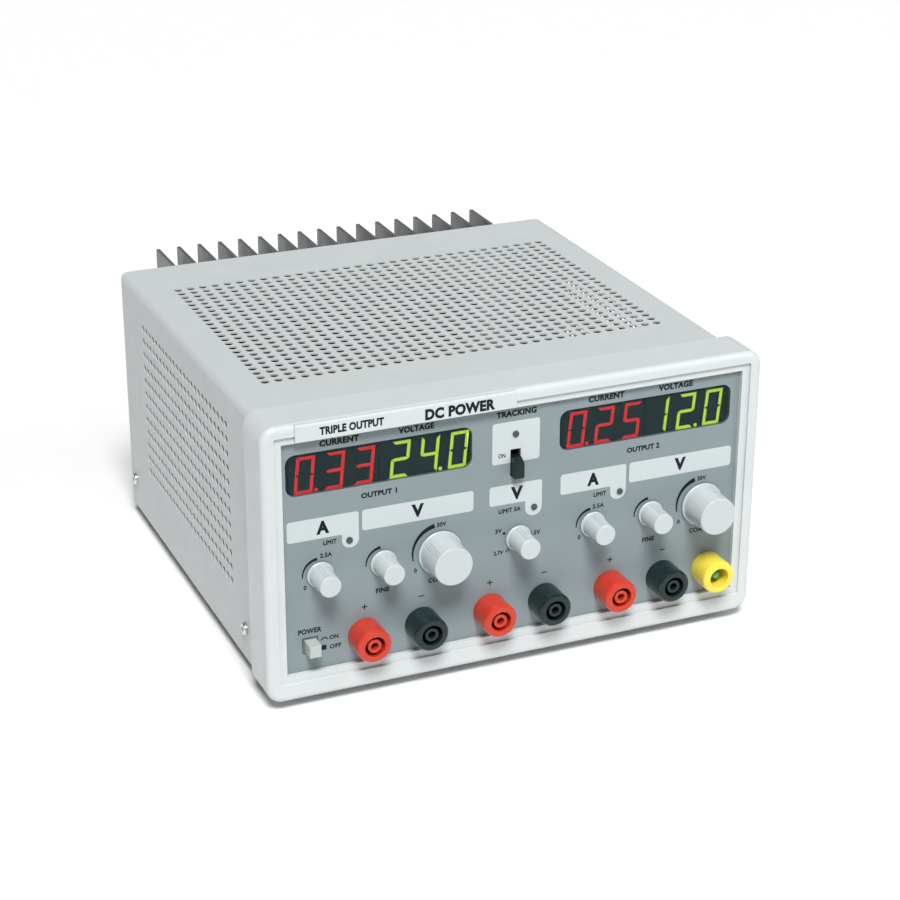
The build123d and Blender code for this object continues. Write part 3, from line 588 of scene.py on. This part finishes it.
def make_digits(red, green):
    """The lit number of each display module, with its left edge in millimetres."""
    for node, number, left, material, slot_name in (
        ("led_display_left_current", "0.33", -115.9, red, "digits_red"),
        ("led_display_left_voltage", "24.0", -67.2, green, "digits_green"),
        ("led_display_right_current", "0.25", 27.0, red, "digits_red"),
        ("led_display_right_voltage", "12.0", 73.0, green, "digits_green"),
    ):
        low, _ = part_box(node)
        bottom = middle(node).z - DIGIT_HEIGHT / 2 - DIGIT_DROP
        printed(node.replace("led_display", "digits"), digit_group(number, left * MM, bottom),
                material, thickness=FILM, base=low.y)


# ---------------------------------------------------------------- assembly
def slot_materials():
    """One material for each slot of the record that has nodes."""
    return {
        "bezel_plastic": surface("bezel_plastic", (0.565, 0.60, 0.60), 0.42, mottle=0.012, grain=0.05),
        "panel_print": surface("panel_print", (0.205, 0.252, 0.266), 0.45, mottle=0.02, grain=0.03),
        "display_window": smoked_glass(),
        "display_body": surface("display_body", (0.013, 0.034, 0.038), 0.85, grain=0.02, specular=0.1),
        "indicator": surface("indicator_grey", (0.045, 0.052, 0.053), 0.3, mottle=0.05, grain=0.01),
        "socket_red": surface("socket_red", (0.53, 0.036, 0.014), 0.2, grain=0.01,
                              subsurface=0.8, depth=4.0 * MM),
        "socket_black": surface("socket_black", (0.007, 0.018, 0.019), 0.18, grain=0.01, specular=0.4),
        "socket_yellow": surface("socket_yellow", (0.82, 0.66, 0.07), 0.24, grain=0.01,
                                 subsurface=0.5, depth=3.0 * MM),
        "earth_green": surface("earth_green", (0.07, 0.40, 0.11), 0.35, grain=0.03),
        "contact_metal": surface("nickelled_brass", (0.45, 0.33, 0.22), 0.45, metallic=0.9, grain=0.02),
        "cover_paint": surface("cover_paint", (0.52, 0.55, 0.55), 0.5, mottle=0.015, grain=0.12,
                               grain_scale=2200),
        "chassis_steel": surface("zinc_plate", (0.58, 0.59, 0.58), 0.36, metallic=0.9, mottle=0.08,
                                 mottle_scale=120),
        "heat_sink": surface("anodised_sink", (0.17, 0.175, 0.185), 0.42, metallic=0.5, mottle=0.06,
                             grain=0.06),
        "screw_steel": surface("screw_nickel", (0.70, 0.69, 0.66), 0.24, metallic=1.0, grain=0.02),
        "rubber": surface("foot_rubber", (0.022, 0.022, 0.022), 0.8, mottle=0.08),
        "transformer_iron": surface("core_varnish", (0.11, 0.095, 0.08), 0.5, metallic=0.3,
                                    mottle=0.12),
        "coil_tape": surface("coil_tape", (0.60, 0.40, 0.10), 0.35, mottle=0.08),
        "board_green": surface("board_green", (0.03, 0.16, 0.055), 0.35, mottle=0.10,
                               mottle_scale=90),
        "component_black": surface("moulded_epoxy", (0.02, 0.02, 0.02), 0.5, mottle=0.1),
        "capacitor_sleeve": surface("capacitor_sleeve", (0.03, 0.05, 0.13), 0.28, mottle=0.05),
        "knob_plastic": surface("knob_plastic", (0.50, 0.54, 0.55), 0.38, mottle=0.012, grain=0.02,
                                subsurface=0.25),
        "shaft_metal": surface("shaft_aluminium", (0.70, 0.70, 0.71), 0.3, metallic=1.0, grain=0.03),
        "button_plastic": surface("button_plastic", (0.42, 0.45, 0.425), 0.4, mottle=0.015,
                                  grain=0.03),
        "lever_plastic": surface("lever_plastic", (0.004, 0.012, 0.013), 0.34, grain=0.03,
                                 specular=0.3),
        "fuse_glass": clear_glass(),
    }


def paint_nodes():
    materials = slot_materials()
    for part in frame["record"]["subparts"]:
        node = frame["nodes"][part["node"]]
        node.data.materials.clear()
        node.data.materials.append(materials[part["material_slot"]])


paint_nodes()
white_print = surface("print_white", (0.51, 0.56, 0.565), 0.5, mottle=0.01, grain=0.02)
dark_print = surface("print_dark", (0.008, 0.013, 0.016), 0.7, mottle=0.05, grain=0.02, specular=0.15)
make_label_boxes(white_print)
make_scales(dark_print)
make_lettering(dark_print)
make_signs(dark_print)
make_digits(lit("segments_red", (0.68, 0.01, 0.008), 1.25),
            lit("segments_green", (0.45, 0.72, 0.045), 1.3))
add_camera()
add_studio()
bpy.context.scene.view_settings.view_transform = "Standard"
